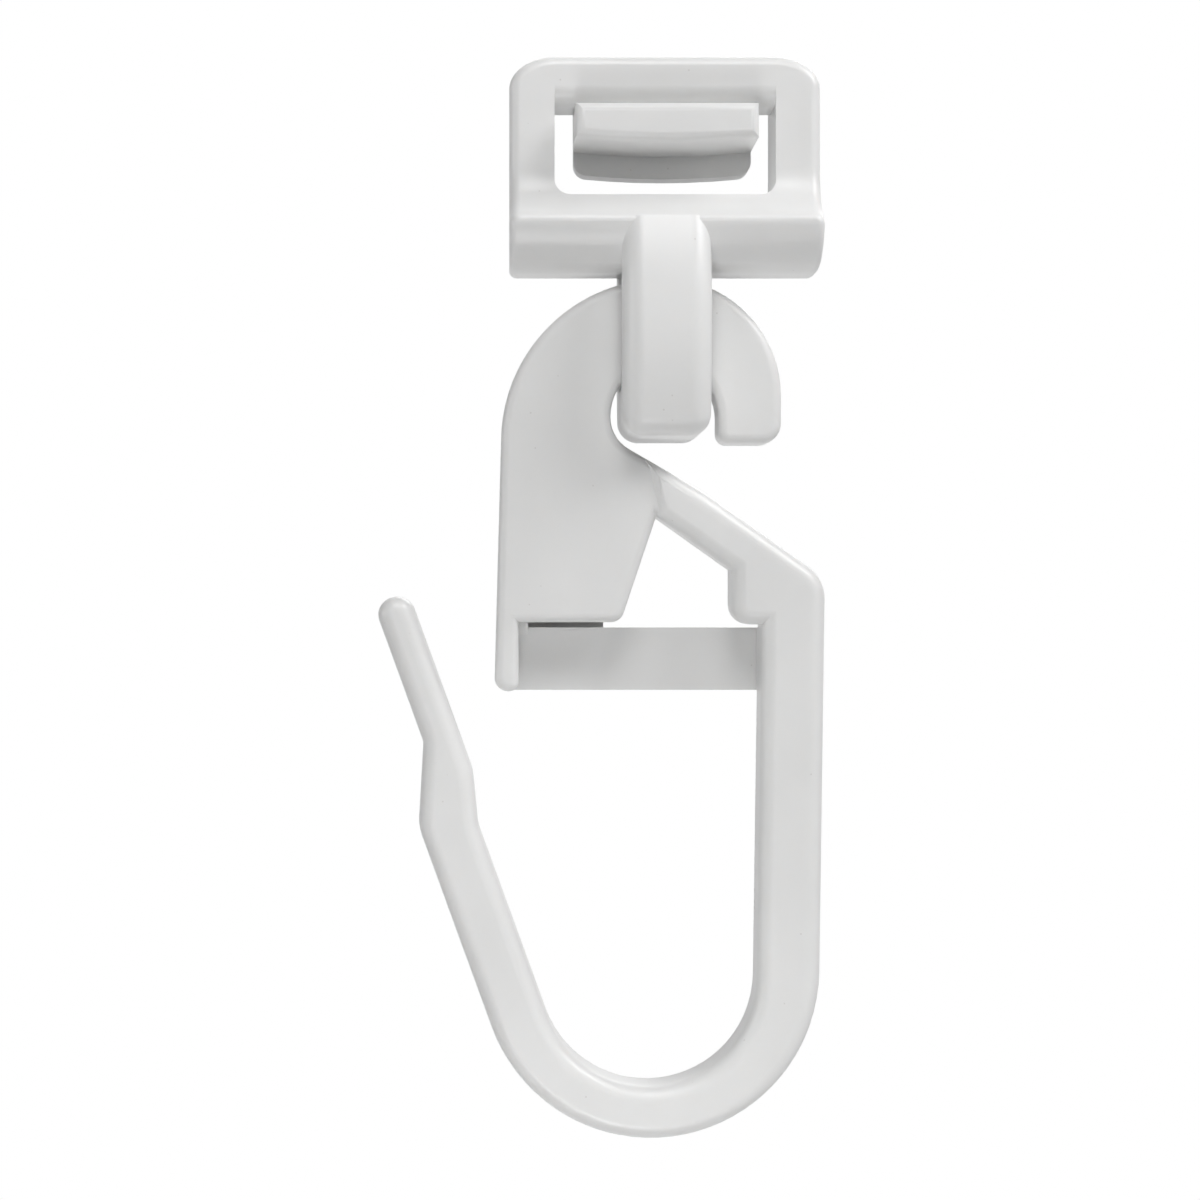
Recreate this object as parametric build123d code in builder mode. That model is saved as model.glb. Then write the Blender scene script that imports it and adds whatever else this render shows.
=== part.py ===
from build123d import *
import math
import os

os.makedirs("parts", exist_ok=True)

# All lengths are in millimetres.
# X runs across the rail, Y along the rail and Z up.
# The origin is the middle of the sliding face, where the foot rests on the lips of the rail.

# Head of the glider, which runs inside the rail
head_width = 12.4
head_height = 8.6
frame_depth = 2.8
frame_edge_round = 0.45
head_corner_width = 1.9
head_corner_height = 1.25
post_width = 1.8
top_bar_height = 1.95
window_sill = 3.0
sill_corner_radius = 0.65
top_bar_round = 0.75

# Foot of the head, rounded like a sled at both ends
foot_depth = 5.6
foot_height = 2.0
sled_radius = 2.3
sled_edge_round = 0.3
cove_height = 2.2

# Spring tongue that hangs from the back of the top bar
tongue_gap = 0.8
tongue_leaf_depth = 0.9
tongue_sill_gap = 1.2
tongue_leaf_corner = 0.55
tongue_bow = 0.2
tongue_nose_height = 1.35
tongue_nose_gap = 0.2
tongue_nose_round = 0.4

# Pleat hook: its eye and the crown that passes through the eyelet
eye_radius = 2.15
crown_height = 3.38
swing_gap = 0.2
plate_depth = 2.1
plate_edge_round = 0.38
plate_radius = 6.53
horn_radius = 4.68
horn_length = 1.08
horn_tip_round = 0.8
horn_heel_round = 0.45
eye_heel_radius = 1.5
brow_angle = 30

# Eyelet of the glider, a loop that stands along the rail
hang_gap = 0.32
eyelet_play = 0.4
eyelet_side_gap = 0.45
eyelet_bulge = 0.7
eyelet_toe_round = 0.95
eyelet_bar_height = 2.7
eyelet_saddle = 0.8
eyelet_edge_round = 0.85
eyelet_hole_round = 0.5
eyelet_mouth_round = 0.25

# Plate of the hook, its short leg and the strap behind it
plate_foot_drop = 8.23
plate_toe_x = -1.74
plate_toe_round = 0.55
crotch_x = -0.32
leg_splay = 0.27
leg_width = 0.98
leg_drop = 11.0
leg_toe_round = 0.55
leg_heel_round = 0.4
strap_depth = 1.0
strap_setback = 2.35
strap_height = 2.55
strap_slit = 0.24
boss_width = 1.2
web_width = 3.5
web_height = 0.6
web_lap = 0.3
strap_edge_round = 0.3

# Wire of the hook: brace, stem, bow and free leg
wire_depth = 2.5
wire_edge_round = 0.6
brace_angle = 35.4
brace_width = 1.9
brace_bend_x = 1.6
brace_root = 0.53
stem_inner_x = 3.9
stem_outer_x = 6.44
stem_lean = 0.8
shoulder_round = 1.6
heel_x = 2.68
heel_drop = 8.32
heel_round = 0.8
bow_inner_radius = 4.34
bow_outer_radius = 6.77
free_leg_lean = 20
free_leg_width = 2.23
knee_x = -9.83
knee_drop = 16.4
knee_height = 3.39
knee_shift = 0.19
calf_height = 2.22
ankle_round = 0.6
bend_round = 2.0
tip_length = 5.86
tip_width = 1.44
tip_round = 0.7

# Heights that follow from the fit of the hook in the eyelet
crest_z = -swing_gap
eye_z = crest_z - crown_height - eye_radius
seat_z = eye_z + eye_radius - hang_gap
eyelet_width = 2 * (eye_radius - eyelet_play)
eyelet_foot_z = seat_z - eyelet_bar_height
hole_depth = plate_depth + 2 * eyelet_side_gap

# Spring tongue, made by itself so that its nose is rounded before it joins the head
window_width = head_width - 2 * post_width
window_top = head_height - top_bar_height
tongue_leaf_bottom = window_sill + tongue_sill_gap
tongue_half = window_width / 2 - tongue_gap
tongue_back = frame_depth / 2
tongue_face = tongue_back - tongue_leaf_depth
nose_top = window_top - tongue_nose_gap
nose_bottom = nose_top - tongue_nose_height

with BuildPart() as spring_tongue:
    with BuildSketch(Plane.XZ.offset(-tongue_face)):
        with BuildLine():
            Line((-tongue_half, nose_bottom), (-tongue_half, nose_top))
            Line((-tongue_half, nose_top), (tongue_half, nose_top))
            Line((tongue_half, nose_top), (tongue_half, nose_bottom))
            ThreePointArc(
                (tongue_half, nose_bottom),
                (0, nose_bottom - tongue_bow),
                (-tongue_half, nose_bottom),
            )
        make_face()
    extrude(amount=foot_depth / 2 + tongue_face)
    nose_front = spring_tongue.faces().sort_by(Axis.Y)[0]
    fillet(nose_front.edges(), radius=tongue_nose_round)
    with BuildSketch(Plane.XZ.offset(-tongue_back)):
        with BuildLine():
            Line((-tongue_half, tongue_leaf_bottom), (-tongue_half, window_top + top_bar_round))
            Line((-tongue_half, window_top + top_bar_round), (tongue_half, window_top + top_bar_round))
            Line((tongue_half, window_top + top_bar_round), (tongue_half, tongue_leaf_bottom))
            ThreePointArc(
                (tongue_half, tongue_leaf_bottom),
                (0, tongue_leaf_bottom - tongue_bow),
                (-tongue_half, tongue_leaf_bottom),
            )
        leaf_outline = make_face()
        fillet(leaf_outline.vertices().group_by(Axis.Y)[0], radius=tongue_leaf_corner)
    extrude(amount=tongue_leaf_depth)

# Glider: eyelet, foot, window frame and tongue in one moulding
sled_run = math.sqrt(sled_radius**2 - (sled_radius - foot_height) ** 2)
sled_flat = foot_depth / 2 - sled_run
cove_top = foot_height + cove_height

with BuildPart() as eyelet:
    with BuildSketch(Plane.YZ):
        with BuildLine():
            Line((0, foot_height), (foot_depth / 2, foot_height))
            ThreePointArc(
                (foot_depth / 2, foot_height),
                (foot_depth / 2 + eyelet_bulge, (foot_height + eyelet_foot_z) / 2),
                (foot_depth / 2, eyelet_foot_z),
            )
            Line((foot_depth / 2, eyelet_foot_z), (0, eyelet_foot_z))
            mirror(about=Plane.YZ)
        make_face()
        fillet(vertices().group_by(Axis.Y)[0], radius=eyelet_toe_round)
    extrude(amount=eyelet_width / 2, both=True)
    eyelet_sides = eyelet.faces().filter_by(Plane.YZ)
    fillet(eyelet_sides.edges().sort_by(Axis.Z)[:-2], radius=eyelet_edge_round)
    # The eye of the hook hangs on a saddle that falls away towards both mouths of the hole
    with BuildSketch(Plane.XZ):
        with BuildLine():
            Line((eyelet_width / 2, seat_z - eyelet_saddle), (eyelet_width / 2, foot_height))
            Line((eyelet_width / 2, foot_height), (-eyelet_width / 2, foot_height))
            Line((-eyelet_width / 2, foot_height), (-eyelet_width / 2, seat_z - eyelet_saddle))
            ThreePointArc(
                (-eyelet_width / 2, seat_z - eyelet_saddle),
                (0, seat_z),
                (eyelet_width / 2, seat_z - eyelet_saddle),
            )
        make_face()
    extrude(amount=hole_depth / 2, both=True, mode=Mode.SUBTRACT)
    saddle = eyelet.faces().sort_by_distance((0, 0, seat_z))[0]
    fillet(saddle.edges().filter_by(GeomType.CIRCLE), radius=eyelet_hole_round)
    side_edges = eyelet.faces().filter_by(Plane.YZ).edges()
    hole_edges = side_edges.filter_by_position(Axis.Y, -hole_depth / 2, hole_depth / 2)
    mouth_edges = hole_edges.filter_by_position(Axis.Z, eyelet_foot_z + eyelet_toe_round, foot_height / 2)
    fillet(mouth_edges, radius=eyelet_mouth_round)

with BuildPart() as head:
    with BuildSketch(Plane.YZ):
        with BuildLine():
            Line((0, 0), (sled_flat, 0))
            TangentArc((sled_flat, 0), (foot_depth / 2, foot_height), tangent=(1, 0))
            TangentArc(
                (frame_depth / 2, cove_top),
                (foot_depth / 2, foot_height),
                tangent=(0, -1),
            )
            Line((frame_depth / 2, cove_top), (frame_depth / 2, head_height))
            Line((frame_depth / 2, head_height), (0, head_height))
            mirror(about=Plane.YZ)
        make_face()
    extrude(amount=head_width / 2, both=True)
    # Upper corners drop away in a quarter ellipse
    with BuildSketch(Plane.XZ):
        with BuildLine():
            EllipticalCenterArc(
                (head_width / 2 - head_corner_width, head_height - head_corner_height),
                head_corner_width,
                head_corner_height,
                start_angle=0,
                arc_size=90,
            )
            Line((head_width / 2 - head_corner_width, head_height), (head_width / 2, head_height))
            Line((head_width / 2, head_height), (head_width / 2, head_height - head_corner_height))
        make_face()
        mirror(about=Plane.YZ)
    extrude(amount=foot_depth / 2, both=True, mode=Mode.SUBTRACT)
    frame_faces = head.faces().filter_by(Plane.XZ)
    fillet(frame_faces.edges().filter_by(Axis.X).group_by(Axis.Z)[-1], radius=frame_edge_round)
    sled_edges = head.faces().filter_by(Plane.YZ).edges().filter_by_position(Axis.Z, 0, foot_height / 2)
    fillet(sled_edges, radius=sled_edge_round)
    # Window, with round corners at the sill and a top bar that is rounded below
    with BuildSketch(Plane.XZ):
        with Locations((0, window_sill)):
            Rectangle(window_width, window_top - window_sill, align=(Align.CENTER, Align.MIN))
        fillet(vertices().group_by(Axis.Y)[0], radius=sill_corner_radius)
    extrude(amount=foot_depth / 2, both=True, mode=Mode.SUBTRACT)
    window_head = head.faces().filter_by(Plane.XY).sort_by(Axis.Z)[-2]
    fillet(window_head.edges().filter_by(Axis.X), radius=top_bar_round)

with BuildPart() as glider:
    add(head.part)
    add(eyelet.part)
    add(spring_tongue.part)

# Outline of the hook, worked out from its eye
brace_sin = math.sin(math.radians(brace_angle))
brace_cos = math.cos(math.radians(brace_angle))
brow_slope = math.tan(math.radians(brow_angle))
brow_start_x = -eye_radius + eye_heel_radius * (1 - math.sin(math.radians(brow_angle)))
brow_start_z = eye_z - eye_heel_radius * math.cos(math.radians(brow_angle))
brow_end_z = brow_start_z - (brace_bend_x - brow_start_x) * brow_slope
brace_foot_x = brace_bend_x - brace_width * brace_sin
brace_foot_z = brow_end_z - brace_width * brace_cos
brace_slope = brace_sin / brace_cos
crotch_z = brace_foot_z + (brace_foot_x - crotch_x) * brace_slope
plate_foot_z = eye_z - plate_foot_drop
leg_foot_z = eye_z - leg_drop
leg_outer_x = -plate_radius - leg_splay
leg_inner_x = leg_outer_x + leg_width

with BuildPart() as hook_plate:
    with BuildSketch(Plane.XZ):
        with BuildLine():
            CenterArc((0, crest_z - plate_radius), plate_radius, 90, 90)
            Line((-plate_radius, crest_z - plate_radius), (leg_outer_x, leg_foot_z))
            Line((leg_outer_x, leg_foot_z), (leg_inner_x, leg_foot_z))
            Line((leg_inner_x, leg_foot_z), (leg_inner_x, plate_foot_z))
            Line((leg_inner_x, plate_foot_z), (plate_toe_x, plate_foot_z))
            Line((plate_toe_x, plate_foot_z), (crotch_x, crotch_z))
            Line((crotch_x, crotch_z), (brace_foot_x, brace_foot_z))
            Line((brace_foot_x, brace_foot_z), (brace_bend_x, brow_end_z))
            Line((brace_bend_x, brow_end_z), (brow_start_x, brow_start_z))
            CenterArc((eye_heel_radius - eye_radius, eye_z), eye_heel_radius, 180, 90 - brow_angle)
            CenterArc((0, eye_z), eye_radius, 0, 180)
            Line((eye_radius, eye_z), (eye_radius, eye_z - horn_length))
            Line((eye_radius, eye_z - horn_length), (horn_radius, eye_z - horn_length))
            Line((horn_radius, eye_z - horn_length), (horn_radius, crest_z - horn_radius))
            CenterArc((0, crest_z - horn_radius), horn_radius, 0, 90)
        make_face()
        fillet(vertices().sort_by_distance((leg_outer_x, leg_foot_z))[0], radius=leg_toe_round)
        fillet(vertices().sort_by_distance((leg_inner_x, leg_foot_z))[0], radius=leg_heel_round)
        fillet(vertices().sort_by_distance((plate_toe_x, plate_foot_z))[0], radius=plate_toe_round)
        fillet(vertices().sort_by_distance((horn_radius, eye_z - horn_length))[0], radius=horn_tip_round)
        fillet(vertices().sort_by_distance((eye_radius, eye_z - horn_length))[0], radius=horn_heel_round)
    extrude(amount=plate_depth / 2, both=True)
    fillet(hook_plate.faces().filter_by(Plane.XZ).edges(), radius=plate_edge_round)

# Wire of the hook, drawn as straight runs that are then rounded into each other
lean = math.tan(math.radians(free_leg_lean))
lean_cos = math.cos(math.radians(free_leg_lean))
lean_sin = math.sin(math.radians(free_leg_lean))
stem_slope = math.tan(math.radians(stem_lean))
root_x = crotch_x - brace_root
root_z = brow_end_z + (brace_bend_x - root_x) * brow_slope
shoulder_z = brow_end_z - (stem_outer_x - brace_bend_x) * brace_slope
heel_z = eye_z - heel_drop
heel_top = brace_foot_z - (heel_x - brace_foot_x) * brace_slope
knee_z = eye_z - knee_drop
knee_inner_x = knee_x + free_leg_width / lean_cos
ankle_z = knee_z + knee_height
ankle_x = knee_x + knee_shift
tip_x = ankle_x - tip_length * lean_sin
tip_z = ankle_z + tip_length * lean_cos
calf_z = knee_z + calf_height
calf_x = ankle_x + tip_width / lean_cos + (ankle_z - calf_z) * lean
outer_bow_z = (knee_x - stem_outer_x + knee_z * lean + shoulder_z * stem_slope) / (lean + stem_slope)
outer_bow_x = knee_x + (knee_z - outer_bow_z) * lean
inner_bow_z = (knee_inner_x - stem_inner_x + knee_z * lean + heel_z * stem_slope) / (lean + stem_slope)
inner_bow_x = knee_inner_x + (knee_z - inner_bow_z) * lean

with BuildPart() as hook_wire:
    with BuildSketch(Plane.XZ):
        with BuildLine():
            Polyline(
                (root_x, root_z),
                (brace_bend_x, brow_end_z),
                (stem_outer_x, shoulder_z),
                (outer_bow_x, outer_bow_z),
                (knee_x, knee_z),
                (ankle_x, ankle_z),
                (tip_x, tip_z),
                (tip_x + tip_width * lean_cos, tip_z + tip_width * lean_sin),
                (calf_x, calf_z),
                (knee_inner_x, knee_z),
                (inner_bow_x, inner_bow_z),
                (stem_inner_x, heel_z),
                (heel_x, heel_z),
                (heel_x, heel_top),
                (crotch_x, crotch_z),
                close=True,
            )
        make_face()
        fillet(vertices().sort_by_distance((outer_bow_x, outer_bow_z))[0], radius=bow_outer_radius)
        fillet(vertices().sort_by_distance((inner_bow_x, inner_bow_z))[0], radius=bow_inner_radius)
        fillet(vertices().sort_by_distance((tip_x, tip_z))[0:2], radius=tip_round)
        fillet(vertices().sort_by_distance((stem_outer_x, shoulder_z))[0], radius=shoulder_round)
        fillet(vertices().sort_by_distance((heel_x, heel_z))[0], radius=heel_round)
        fillet(vertices().sort_by_distance((knee_x, knee_z))[0], radius=bend_round)
        fillet(vertices().sort_by_distance((knee_inner_x, knee_z))[0], radius=bend_round)
        fillet(vertices().sort_by_distance((calf_x, calf_z))[0], radius=bend_round)
        fillet(vertices().sort_by_distance((ankle_x, ankle_z))[0], radius=ankle_round)
    extrude(amount=wire_depth / 2, both=True)
    fillet(hook_wire.faces().filter_by(Plane.XZ).edges(), radius=wire_edge_round)

# Strap across the back, carried by the deep short leg and by a boss behind the stem
strap_face = strap_setback - plate_depth / 2
strap_back = strap_face + strap_depth
strap_top = plate_foot_z - strap_slit
strap_foot = strap_top - strap_height
leg_slope = (-plate_radius - leg_outer_x) / (crest_z - plate_radius - leg_foot_z)

with BuildPart() as hook_strap:
    with BuildSketch(Plane.XZ.offset(-strap_back)):
        with BuildLine():
            Polyline(
                (leg_inner_x - leg_width / 2, strap_top),
                (stem_inner_x + boss_width, strap_top),
                (stem_inner_x + boss_width, strap_foot),
                (leg_inner_x - leg_width / 2, strap_foot),
                close=True,
            )
        make_face()
    extrude(amount=strap_depth)
    with BuildSketch(Plane.XZ.offset(-strap_back)):
        with BuildLine():
            Polyline(
                (leg_outer_x + leg_slope * (plate_foot_z - leg_foot_z), plate_foot_z),
                (leg_outer_x, leg_foot_z),
                (leg_inner_x, leg_foot_z),
                (leg_inner_x, plate_foot_z),
                close=True,
            )
        make_face()
        fillet(vertices().sort_by_distance((leg_outer_x, leg_foot_z))[0], radius=leg_toe_round)
        fillet(vertices().sort_by_distance((leg_inner_x, leg_foot_z))[0], radius=leg_heel_round)
    extrude(amount=strap_back)
    with BuildSketch(Plane.XZ.offset(-strap_back)):
        with Locations((stem_inner_x, strap_foot)):
            Rectangle(boss_width, strap_height, align=(Align.MIN, Align.MIN))
    extrude(amount=strap_back)
    with BuildSketch(Plane.XZ.offset(-strap_back)):
        with Locations((leg_inner_x, strap_top - web_lap)):
            Rectangle(web_width, web_height + web_lap + strap_slit, align=(Align.MIN, Align.MIN))
    extrude(amount=strap_back - plate_depth / 2 + web_lap)
    fillet(hook_strap.faces().sort_by(Axis.Y)[-1].edges(), radius=strap_edge_round)

with BuildPart() as pleat_hook:
    add(hook_plate.part)
    add(hook_wire.part)
    add(hook_strap.part)

glider.part.label = "glider"
export_step(glider.part, "parts/glider.step")
pleat_hook.part.label = "pleat_hook"
export_step(pleat_hook.part, "parts/pleat_hook.step")
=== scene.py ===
# %% [markdown]
# # A curtain glider with its pleat hook
#
# The real thing is two small white plastic mouldings. The glider has a sled-shaped foot that
# slides in a curtain rail, a little window frame with a sprung tongue on top of it, and an
# eyelet below. The pleat hook hangs in that eyelet and carries the curtain.
# Their solids come from the CAD frame, which stays fixed. This lesson gives them the soft
# edges and the milky plastic of the real pieces, and sets up the light and the camera.

import math

import bpy
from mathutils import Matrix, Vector


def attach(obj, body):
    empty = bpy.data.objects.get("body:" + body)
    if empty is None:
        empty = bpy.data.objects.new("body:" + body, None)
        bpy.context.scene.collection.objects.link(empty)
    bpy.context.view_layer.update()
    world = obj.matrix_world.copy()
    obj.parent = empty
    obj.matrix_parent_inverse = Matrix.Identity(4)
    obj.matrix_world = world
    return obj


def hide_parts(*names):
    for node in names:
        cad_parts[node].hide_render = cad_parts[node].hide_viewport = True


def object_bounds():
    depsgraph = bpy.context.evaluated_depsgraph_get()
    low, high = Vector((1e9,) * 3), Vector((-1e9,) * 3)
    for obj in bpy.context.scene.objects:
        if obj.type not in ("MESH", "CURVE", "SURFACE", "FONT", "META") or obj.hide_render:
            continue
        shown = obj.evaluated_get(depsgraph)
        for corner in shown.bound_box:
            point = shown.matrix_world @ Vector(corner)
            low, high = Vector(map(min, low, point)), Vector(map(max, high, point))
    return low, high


MM = 0.001


def size_in_mm(box):
    return [round(side / MM, 2) for side in box[1] - box[0]]


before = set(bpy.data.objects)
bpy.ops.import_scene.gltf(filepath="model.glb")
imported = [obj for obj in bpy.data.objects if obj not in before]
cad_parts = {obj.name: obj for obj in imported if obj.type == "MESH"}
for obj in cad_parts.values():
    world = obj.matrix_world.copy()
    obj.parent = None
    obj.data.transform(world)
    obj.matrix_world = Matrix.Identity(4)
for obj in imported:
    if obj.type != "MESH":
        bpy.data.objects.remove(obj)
cad_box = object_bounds()
print("nodes:", sorted(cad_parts), "box in mm:", size_in_mm(cad_box))

# %% [markdown]
# ## Soft mouldings
#
# A mould has no knife-sharp edge, because its steel is cut with round tools. The solids
# already carry the larger fillets. What is still sharp on them is blunted here, on a copy of
# each solid. A voxel remesh would round the edges too, but it needs far more faces and fills
# narrow gaps. So the flat triangles are joined to whole faces first, and then a narrow Bevel
# takes only the edges that turn by more than 35 degrees. Weighted normals keep the flats flat
# and let the fillets run smoothly into them.

# %% Helper: pick one piece
def pick(piece):
    bpy.ops.object.select_all(action="DESELECT")
    piece.select_set(True)
    bpy.context.view_layer.objects.active = piece


# %% Helper: copy a solid
MERGE_REACH = 0.0005 * MM
FLAT_ANGLE = math.radians(0.5)


def copy_of(node_name, piece_name):
    piece = bpy.data.objects.new(piece_name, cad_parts[node_name].data.copy())
    piece.data.name = piece_name
    bpy.context.scene.collection.objects.link(piece)
    pick(piece)
    bpy.ops.object.mode_set(mode="EDIT")
    bpy.ops.mesh.select_all(action="SELECT")
    bpy.ops.mesh.remove_doubles(threshold=MERGE_REACH)
    bpy.ops.mesh.dissolve_limited(angle_limit=FLAT_ANGLE)
    bpy.ops.object.mode_set(mode="OBJECT")
    print(piece_name, "starts with", len(piece.data.polygons), "faces")
    return piece


# %% Helper: blunt the sharp corners
SHARP_CORNER = math.radians(35)
CORNER_FACETS = 3
FAVOUR_LARGE_FACES = 100


def soften(piece, blunt):
    pick(piece)
    corners = piece.modifiers.new("blunt corners", "BEVEL")
    corners.width = blunt
    corners.segments = CORNER_FACETS
    corners.limit_method = "ANGLE"
    corners.angle_limit = SHARP_CORNER
    bpy.ops.object.modifier_apply(modifier=corners.name)
    bpy.ops.object.shade_smooth()
    flats = piece.modifiers.new("flat stays flat", "WEIGHTED_NORMAL")
    flats.weight = FAVOUR_LARGE_FACES
    flats.keep_sharp = True
    bpy.ops.object.modifier_apply(modifier=flats.name)
    print(piece.name, "ends with", len(piece.data.polygons), "faces")


# %% Helper: cut a box out of a piece
def cut_box(piece, low, high):
    """Cut away the box between two corners, which are given in millimetres."""
    low, high = Vector(low) * MM, Vector(high) * MM
    bpy.ops.object.select_all(action="DESELECT")
    bpy.ops.mesh.primitive_cube_add(size=1, location=(low + high) / 2)
    cutter = bpy.context.active_object
    cutter.scale = high - low
    bpy.ops.object.transform_apply(location=True, rotation=True, scale=True)
    pick(piece)
    cut = piece.modifiers.new("cut", "BOOLEAN")
    cut.operation = "DIFFERENCE"
    cut.object = cutter
    bpy.ops.object.modifier_apply(modifier=cut.name)
    bpy.data.objects.remove(cutter)
    print(piece.name, "has", len(piece.data.polygons), "faces after the cut")


# %% [markdown]
# ## The two mouldings
#
# The glider only needs its corners blunted. The hook needs one cut more. Behind the foot of
# its plate a thin web joins the plate to the strap. On the real hook a narrow slot runs in
# front of that web and shows as a dark line, and the strap's face goes right up to it. A dark
# stripe in the material would look painted on from the side, so two thin boxes cut the copy
# back to the real form: one clears the web off the strap's face, and one sinks the slot.

# %% Glider
GLIDER_BLUNT = 0.07 * MM
glider = copy_of("glider", "glider_moulding")
soften(glider, GLIDER_BLUNT)

# %% Pleat hook with its slot, places in millimetres
SLOT_LEFT, SLOT_RIGHT = -5.44, -2.25
PLATE_FOOT, STRAP_TOP = -13.97, -14.19
WEB_FOOT = STRAP_TOP - 0.4
WEB_FRONT, STRAP_FACE, SLOT_END = 0.6, 1.3, 2.05
HOOK_BLUNT = 0.05 * MM
hook = copy_of("pleat_hook", "pleat_hook_moulding")
cut_box(hook, (SLOT_LEFT, WEB_FRONT, WEB_FOOT), (SLOT_RIGHT, STRAP_FACE, STRAP_TOP))
cut_box(hook, (SLOT_LEFT, WEB_FRONT, STRAP_TOP), (SLOT_RIGHT, SLOT_END, PLATE_FOOT))
soften(hook, HOOK_BLUNT)

# %% Let each piece stand for its solid
for piece, node_name, slot_name in (
    (glider, "glider", "glider_plastic"),
    (hook, "pleat_hook", "hook_plastic"),
):
    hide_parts(node_name)
    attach(piece, node_name)
    print(piece.name, "stands for", node_name)

# %% [markdown]
# ## White plastic
#
# Gliders are moulded in a white engineering plastic that is a little translucent: light goes
# in, scatters and comes out a short way off, which softens every shadow. The surface has a
# soft gloss with a very fine grain from the mould. A single flat white would look like
# plaster, so three patterns are mixed in: slow clouds from the flow of the melt, a fine
# grain that only touches the gloss and the bump, and a few faint specks of dust. They are
# node patterns in real sizes, so they need no picture file and stay fixed to the piece.

# %% Helper: pattern nodes
def link(tree, source, socket):
    tree.links.new(source, socket)


def pattern(tree, kind, size, place):
    node = tree.nodes.new(kind)
    node.inputs["Scale"].default_value = 1 / size
    link(tree, place, node.inputs["Vector"])
    return node


def ranged(tree, value, low, high, start=0.0, end=1.0):
    node = tree.nodes.new("ShaderNodeMapRange")
    node.inputs["From Min"].default_value = start
    node.inputs["From Max"].default_value = end
    node.inputs["To Min"].default_value = low
    node.inputs["To Max"].default_value = high
    link(tree, value, node.inputs["Value"])
    return node.outputs["Result"]


# %% Helper: clouds and dust in the colour
CLOUD_SIZE = 6 * MM
CLOUD_DETAIL = 3
CLOUD_FROM, CLOUD_TO = 0.3, 0.7
SPECK_SPACING = 0.9 * MM
SPECK_CORE, SPECK_RIM = 0.03, 0.05
SPECK_TINT = (0.86, 0.85, 0.84, 1)


def clouded_colour(tree, place, pale, shade):
    clouds = pattern(tree, "ShaderNodeTexNoise", CLOUD_SIZE, place)
    clouds.inputs["Detail"].default_value = CLOUD_DETAIL
    ramp = tree.nodes.new("ShaderNodeValToRGB")
    shaded_end, pale_end = ramp.color_ramp.elements
    shaded_end.position, shaded_end.color = CLOUD_FROM, (*shade, 1)
    pale_end.position, pale_end.color = CLOUD_TO, (*pale, 1)
    link(tree, clouds.outputs["Fac"], ramp.inputs["Fac"])

    specks = pattern(tree, "ShaderNodeTexVoronoi", SPECK_SPACING, place)
    on_speck = ranged(tree, specks.outputs["Distance"], 1, 0, SPECK_CORE, SPECK_RIM)
    dust = tree.nodes.new("ShaderNodeMix")
    dust.data_type = "RGBA"
    dust.blend_type = "MULTIPLY"
    dust.inputs["B"].default_value = SPECK_TINT
    link(tree, ramp.outputs["Color"], dust.inputs["A"])
    link(tree, on_speck, dust.inputs["Factor"])
    return dust.outputs["Result"]


# %% Helper: mould grain in the gloss and the bump
GRAIN_SIZE = 0.12 * MM
GRAIN_DETAIL = 2
GRAIN_DEPTH = 0.006 * MM
GRAIN_STRENGTH = 0.08
ROUGHNESS, ROUGHNESS_SWING = 0.34, 0.06


def add_mould_grain(tree, place, shader):
    grain = pattern(tree, "ShaderNodeTexNoise", GRAIN_SIZE, place)
    grain.inputs["Detail"].default_value = GRAIN_DETAIL
    smoothest, roughest = ROUGHNESS - ROUGHNESS_SWING, ROUGHNESS + ROUGHNESS_SWING
    roughness = ranged(tree, grain.outputs["Fac"], smoothest, roughest)
    link(tree, roughness, shader.inputs["Roughness"])
    bump = tree.nodes.new("ShaderNodeBump")
    bump.inputs["Strength"].default_value = GRAIN_STRENGTH
    bump.inputs["Distance"].default_value = GRAIN_DEPTH
    link(tree, grain.outputs["Fac"], bump.inputs["Height"])
    link(tree, bump.outputs["Normal"], shader.inputs["Normal"])


# %% Helper: the milky plastic
MILK_SHARE = 0.3
MILK_DEPTH = 0.4 * MM
MILK_SPREAD = (1.0, 0.95, 0.9)
PLASTIC_IOR = 1.48


def milky_plastic(name, pale, shade):
    material = bpy.data.materials.new(name)
    material.use_nodes = True
    tree = material.node_tree
    shader = tree.nodes["Principled BSDF"]
    place = tree.nodes.new("ShaderNodeTexCoord").outputs["Object"]
    link(tree, clouded_colour(tree, place, pale, shade), shader.inputs["Base Color"])
    add_mould_grain(tree, place, shader)
    shader.inputs["Subsurface Weight"].default_value = MILK_SHARE
    shader.inputs["Subsurface Radius"].default_value = MILK_SPREAD
    shader.inputs["Subsurface Scale"].default_value = MILK_DEPTH
    shader.inputs["IOR"].default_value = PLASTIC_IOR
    print("material", name, "with", len(tree.nodes), "nodes")
    return material


# %% Put the plastic on
# The two pieces are one white plastic. The glider's white is set a little lighter and the
# hook's a little darker: painted light on the glider and painted shade on the hook, standing
# in for how the light falls on them.
GLIDER_PALE, GLIDER_SHADE = (0.85, 0.85, 0.845), (0.81, 0.81, 0.805)
HOOK_PALE, HOOK_SHADE = (0.81, 0.81, 0.805), (0.77, 0.77, 0.765)
glider_plastic = milky_plastic("glider plastic", GLIDER_PALE, GLIDER_SHADE)
hook_plastic = milky_plastic("hook plastic", HOOK_PALE, HOOK_SHADE)
for piece, material in ((glider, glider_plastic), (hook, hook_plastic)):
    piece.data.materials.clear()
    piece.data.materials.append(material)

# %% [markdown]
# ## Floor and backdrop
#
# The part hangs from a rail, so the pale floor lies well below the bow and leaves room for a
# lamp under it. A white product picture wants a white ground. More light would burn out the
# white plastic, so the floor and the world glow white instead, but only for the camera, for
# reflections and through clear things. Near the part, where its shadow falls, some plain
# paint is mixed into the floor. Further off the paint fades into white, so that no horizon
# shows.

# %% Helper: white where it is looked at
WHITE = (1, 1, 1, 1)


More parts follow.
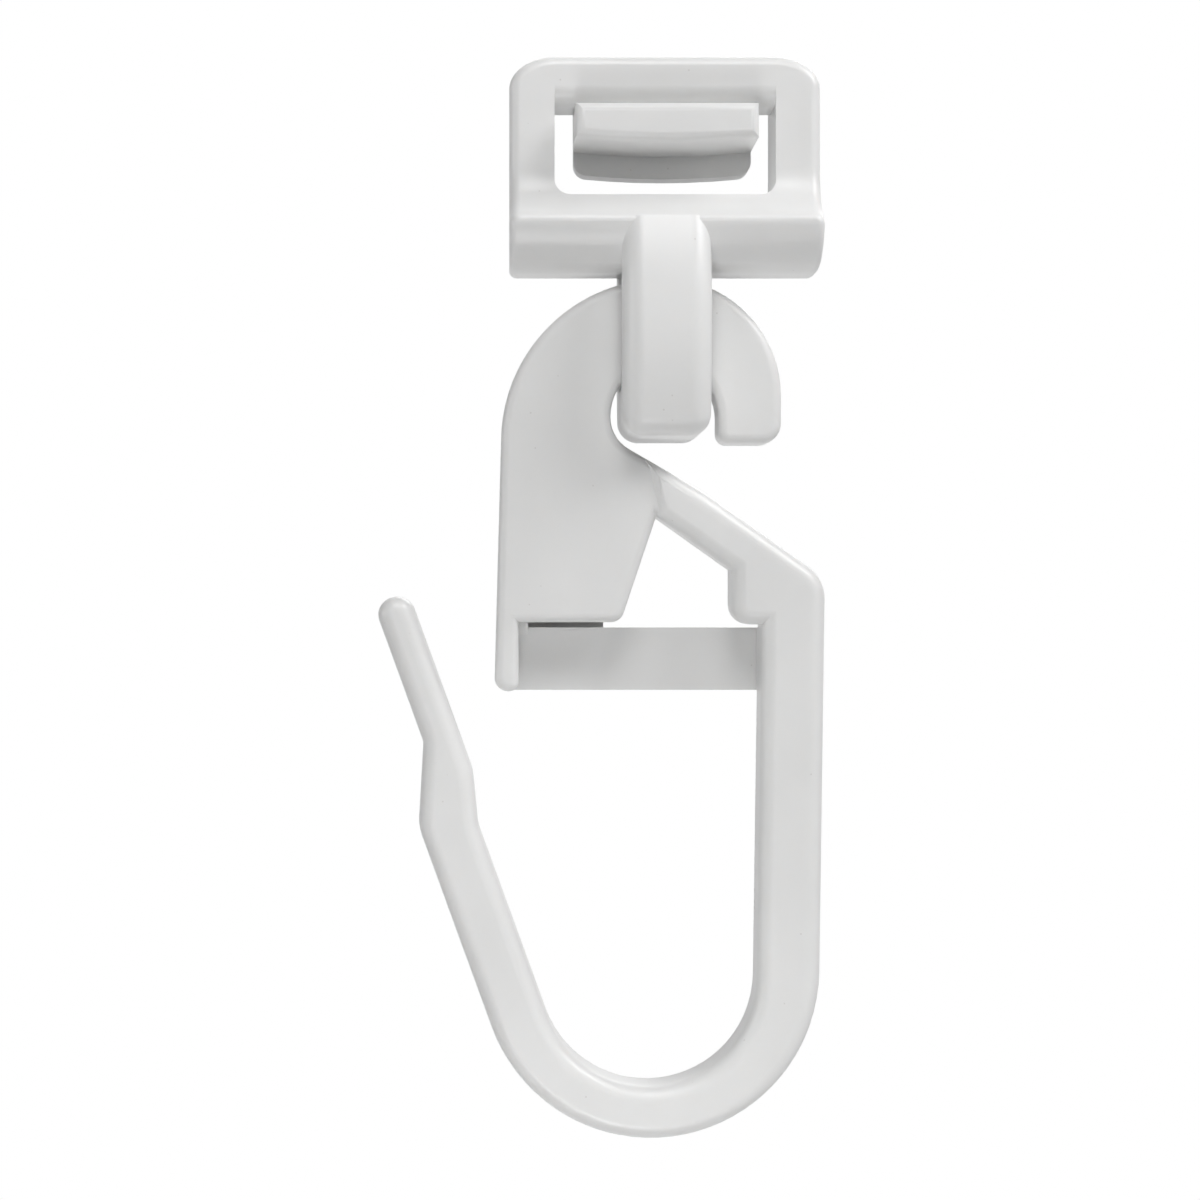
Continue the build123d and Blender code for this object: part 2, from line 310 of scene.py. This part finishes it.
def looked_at(tree):
    path = tree.nodes.new("ShaderNodeLightPath")
    either = tree.nodes.new("ShaderNodeMath")
    either.operation = "MAXIMUM"
    link(tree, path.outputs["Is Camera Ray"], either.inputs[0])
    link(tree, path.outputs["Is Glossy Ray"], either.inputs[1])
    any_of = tree.nodes.new("ShaderNodeMath")
    any_of.operation = "MAXIMUM"
    link(tree, either.outputs["Value"], any_of.inputs[0])
    link(tree, path.outputs["Is Transmission Ray"], any_of.inputs[1])
    return any_of.outputs["Value"]


def lit_or_white(tree, white_share, lit, white, output):
    mix = tree.nodes.new("ShaderNodeMixShader")
    link(tree, white_share, mix.inputs["Fac"])
    link(tree, lit, mix.inputs[1])
    link(tree, white, mix.inputs[2])
    link(tree, mix.outputs["Shader"], output.inputs["Surface"])


# %% Floor
FLOOR_DROP = 90 * MM
FLOOR_SIDE = 6.0
floor_height = cad_box[0].z - FLOOR_DROP
bpy.ops.object.select_all(action="DESELECT")
bpy.ops.mesh.primitive_plane_add(size=FLOOR_SIDE, location=(0, 0, floor_height))
floor = bpy.context.active_object
floor.name = "floor"
bpy.ops.object.transform_apply(location=True, rotation=False, scale=False)
print("floor at", round(floor_height / MM, 1), "mm")

# %% Floor paint
FLOOR_GREY = (0.8, 0.8, 0.8, 1)
FLOOR_ROUGHNESS = 0.9
PAINT_SHARE = 0.15
PAINT_NEAR, PAINT_FAR = 150 * MM, 300 * MM
floor_paint = bpy.data.materials.new("pale floor")
floor_paint.use_nodes = True
tree = floor_paint.node_tree
paint = tree.nodes["Principled BSDF"]
paint.inputs["Base Color"].default_value = FLOOR_GREY
paint.inputs["Roughness"].default_value = FLOOR_ROUGHNESS
glow = tree.nodes.new("ShaderNodeEmission")
glow.inputs["Color"].default_value = WHITE
glow.inputs["Strength"].default_value = 1.0
reach = tree.nodes.new("ShaderNodeVectorMath")
reach.operation = "LENGTH"
link(tree, tree.nodes.new("ShaderNodeTexCoord").outputs["Object"], reach.inputs[0])
fade = ranged(tree, reach.outputs["Value"], 1 - PAINT_SHARE, 1, PAINT_NEAR, PAINT_FAR)
share = tree.nodes.new("ShaderNodeMath")
share.operation = "MULTIPLY"
link(tree, looked_at(tree), share.inputs[0])
link(tree, fade, share.inputs[1])
lit_or_white(
    tree,
    white_share=share.outputs["Value"],
    lit=paint.outputs["BSDF"],
    white=glow.outputs["Emission"],
    output=tree.nodes["Material Output"],
)
floor.data.materials.append(floor_paint)
print("floor paint fades from", PAINT_NEAR / MM, "to", PAINT_FAR / MM, "mm")

# %% World
SKY_LOW, SKY_TOP = 0.01, 0.02
LOW_LOOK, HIGH_LOOK = -0.3, 0.8
world = bpy.data.worlds.new("studio")
bpy.context.scene.world = world
world.use_nodes = True
tree = world.node_tree
sky = tree.nodes["Background"]
sky.inputs["Color"].default_value = WHITE
split = tree.nodes.new("ShaderNodeSeparateXYZ")
link(tree, tree.nodes.new("ShaderNodeTexCoord").outputs["Generated"], split.inputs["Vector"])
strength = ranged(tree, split.outputs["Z"], SKY_LOW, SKY_TOP, LOW_LOOK, HIGH_LOOK)
link(tree, strength, sky.inputs["Strength"])
backdrop = tree.nodes.new("ShaderNodeBackground")
backdrop.inputs["Color"].default_value = WHITE
backdrop.inputs["Strength"].default_value = 1.0
lit_or_white(
    tree,
    white_share=looked_at(tree),
    lit=sky.outputs["Background"],
    white=backdrop.outputs["Background"],
    output=tree.nodes["World Output"],
)
print("world strength from", SKY_LOW, "to", SKY_TOP)

# %% [markdown]
# ## Lamps
#
# The picture is lit from the sides rather than from the front, so the flat faces stay a
# quiet grey while the rounded parts turn bright. The strongest soft box stands high at the
# right, one stands high in front and a weaker one low at the left. Being high, the strong
# ones leave the leaf under the spring nose and the strap behind the plate in shade. A small
# lamp near the camera and one below it brighten the loop, the brace and the bow, and one
# behind the part keeps its back readable. The powers look tiny because the part is only four
# centimetres tall and the lamps stand close.

# %% Helper: soft box
centre = (cad_box[0] + cad_box[1]) / 2


def soft_box(name, turn, height, distance, size, power):
    """A disc lamp seen from the part at a turn to the right and a height, both in degrees."""
    data = bpy.data.lights.new(name, "AREA")
    data.shape = "DISK"
    data.size = size
    data.energy = power
    lamp = bpy.data.objects.new(name, data)
    turn, height = math.radians(turn), math.radians(height)
    right, front = math.sin(turn) * math.cos(height), math.cos(turn) * math.cos(height)
    way = Vector((right, -front, math.sin(height)))
    lamp.location = centre + distance * way
    lamp.rotation_euler = way.to_track_quat("Z", "Y").to_euler()
    bpy.context.scene.collection.objects.link(lamp)
    print(name, "at", [round(v / MM) for v in lamp.location], "mm")


# %% Set up the lamps
FAR, NEAR = 300 * MM, 75 * MM
soft_box("left soft box", turn=-75, height=10, distance=FAR, size=120 * MM, power=0.14)
soft_box("right soft box", turn=65, height=43, distance=FAR, size=160 * MM, power=0.53)
soft_box("top soft box", turn=0, height=50, distance=FAR, size=140 * MM, power=0.34)
soft_box("front lamp", turn=4, height=9, distance=FAR, size=60 * MM, power=0.025)
soft_box("low lamp", turn=-5, height=-43, distance=NEAR, size=25 * MM, power=0.0145)
soft_box("back soft box", turn=165, height=30, distance=FAR, size=160 * MM, power=0.12)

# %% [markdown]
# ## Camera
#
# The picture looks straight along the rail from close by, at the height of the hook's plate
# and a little left of the part's middle, so the right-hand inner walls of the window and the
# bow come into view. Turning the camera towards the part would make its level edges slope.
# The lens shift brings the part back into the middle of the picture and keeps them level.

# %% Camera
LENS, SENSOR = 67.5, 36
SIDE_SHIFT = 0.075
CAMERA_PLACE = (-6.17 * MM, -90.8 * MM, -13.07 * MM)
NEAREST, FARTHEST = 1 * MM, 20
camera_data = bpy.data.cameras.new("camera")
camera_data.lens = LENS
camera_data.sensor_width = SENSOR
camera_data.shift_x = SIDE_SHIFT
camera_data.clip_start = NEAREST
camera_data.clip_end = FARTHEST
camera = bpy.data.objects.new("camera", camera_data)
camera.location = CAMERA_PLACE
camera.rotation_euler = (math.radians(90), 0, 0)
bpy.context.scene.collection.objects.link(camera)
bpy.context.scene.camera = camera
bpy.context.scene.view_settings.view_transform = "Standard"
print("camera", round((camera.location - centre).length / MM), "mm from the part's middle")
